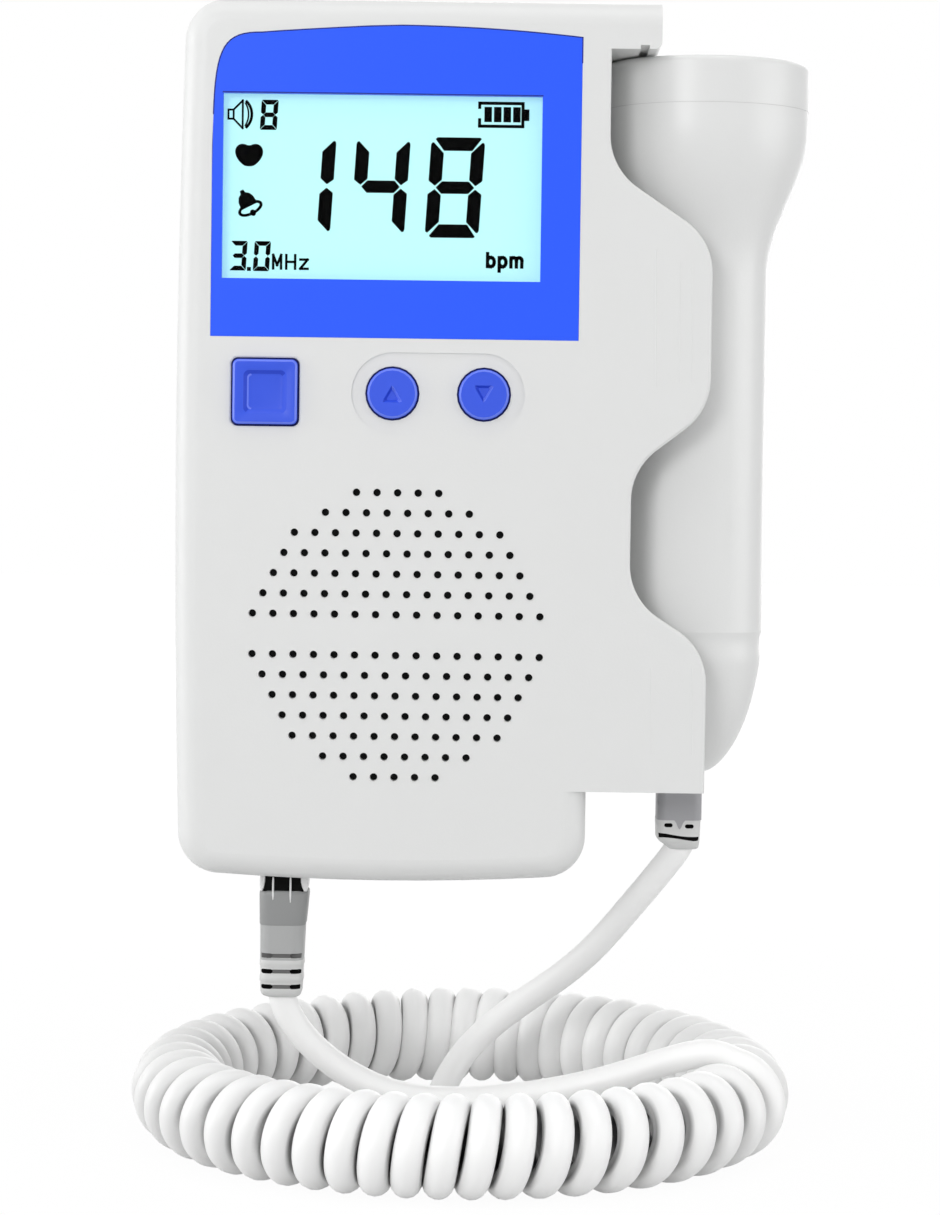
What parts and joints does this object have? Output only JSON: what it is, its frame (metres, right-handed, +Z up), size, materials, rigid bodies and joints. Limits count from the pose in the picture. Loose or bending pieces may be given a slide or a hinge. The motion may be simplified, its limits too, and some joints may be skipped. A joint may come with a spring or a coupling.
{
  "type": "fetal doppler monitor",
  "caption": "Hand-held fetal doppler monitor with a display, blue keys, a speaker grille, a probe held in a side holster and a curly lead lying in a ring.",
  "frame": {"origin": "on the flat back face, on the speaker's centre line, at the case's mid height", "axes": "+Z up along the case, +Y out of the back face (the display looks along -Y), +X towards the probe"},
  "size_m": [0.1057, 0.1048, 0.1784],
  "materials": {
    "case_plastic": "fine satin ABS, white",
    "key_blue": "satin blue plastic",
    "lens_clear": "polished clear acrylic",
    "lens_print": "blue print behind the lens",
    "lcd_glass": "reflective LCD, pale cyan",
    "light_guide": "milky light guide",
    "inner_plastic": "plain moulded plastic",
    "board_green": "solder mask",
    "black_plastic": "black moulded plastic",
    "contact_metal": "nickel-plated steel",
    "screw_steel": "zinc-plated steel",
    "gold_contact": "gold-plated contacts",
    "cell_jacket": "shrink film over a steel can",
    "speaker_paper": "coated paper cone",
    "magnet": "plated magnet",
    "gasket_foam": "closed-cell foam",
    "lead_rubber": "white soft PVC",
    "boot_grey": "mid-grey soft PVC",
    "crystal": "silvered ceramic"
  },
  "bodies": {
    "main_unit": {"front_shell": "case_plastic", "rear_shell": "case_plastic", "battery_cell_left": "cell_jacket", "battery_cell_right": "cell_jacket", "battery_springs": "contact_metal", "battery_contacts": "contact_metal", "display_lens": "lens_clear", "lens_print": "lens_print", "lcd_glass": "lcd_glass", "lcd_backlight": "light_guide", "lcd_frame": "inner_plastic", "lcd_connector": "black_plastic", "main_board": "board_green", "board_chips": "black_plastic", "switch_bodies": "black_plastic", "speaker_gasket": "gasket_foam", "speaker_frame": "black_plastic", "speaker_cone": "speaker_paper", "speaker_magnet": "magnet", "case_screws": "screw_steel", "lead_socket": "black_plastic", "plug_housing": "black_plastic", "plug_contacts": "gold_contact", "plug_grip": "boot_grey", "plug_strain_relief": "boot_grey", "headphone_socket": "black_plastic", "lead_from_unit": "lead_rubber", "lead_to_probe": "lead_rubber", "lead_curls": "lead_rubber"},
    "power_key": {"power_button": "key_blue", "power_plunger": "black_plastic"},
    "volume_up_key": {"volume_up_button": "key_blue", "volume_up_plunger": "black_plastic"},
    "volume_down_key": {"volume_down_button": "key_blue", "volume_down_plunger": "black_plastic"},
    "battery_cover": {"battery_door": "case_plastic"},
    "probe": {"probe_front_shell": "case_plastic", "probe_rear_shell": "case_plastic", "probe_cap": "case_plastic", "probe_crystals": "crystal", "crystal_backing": "black_plastic", "probe_board": "board_green", "probe_screws": "screw_steel", "probe_boot": "boot_grey", "probe_strain_relief": "boot_grey"}
  },
  "joints": [
    {"name": "power_press", "type": "slide", "parent": "main_unit", "child": "power_key", "axis": [0, 1, 0], "range_m": [0, 0.0008], "stiffness_N_per_m": 350, "springref_m": -0.0015},
    {"name": "volume_up_press", "type": "slide", "parent": "main_unit", "child": "volume_up_key", "axis": [0, 1, 0], "range_m": [0, 0.0008], "stiffness_N_per_m": 350, "springref_m": -0.0015},
    {"name": "volume_down_press", "type": "slide", "parent": "main_unit", "child": "volume_down_key", "axis": [0, 1, 0], "range_m": [0, 0.0008], "stiffness_N_per_m": 350, "springref_m": -0.0015},
    {"name": "battery_cover_slide", "type": "slide", "parent": "main_unit", "child": "battery_cover", "axis": [0, 0, -1], "range_m": [0, 0.008]},
    {"name": "probe_draw", "type": "slide", "parent": "main_unit", "child": "probe", "axis": [1, 0, 0], "range_m": [0, 0.03]}
  ]
}
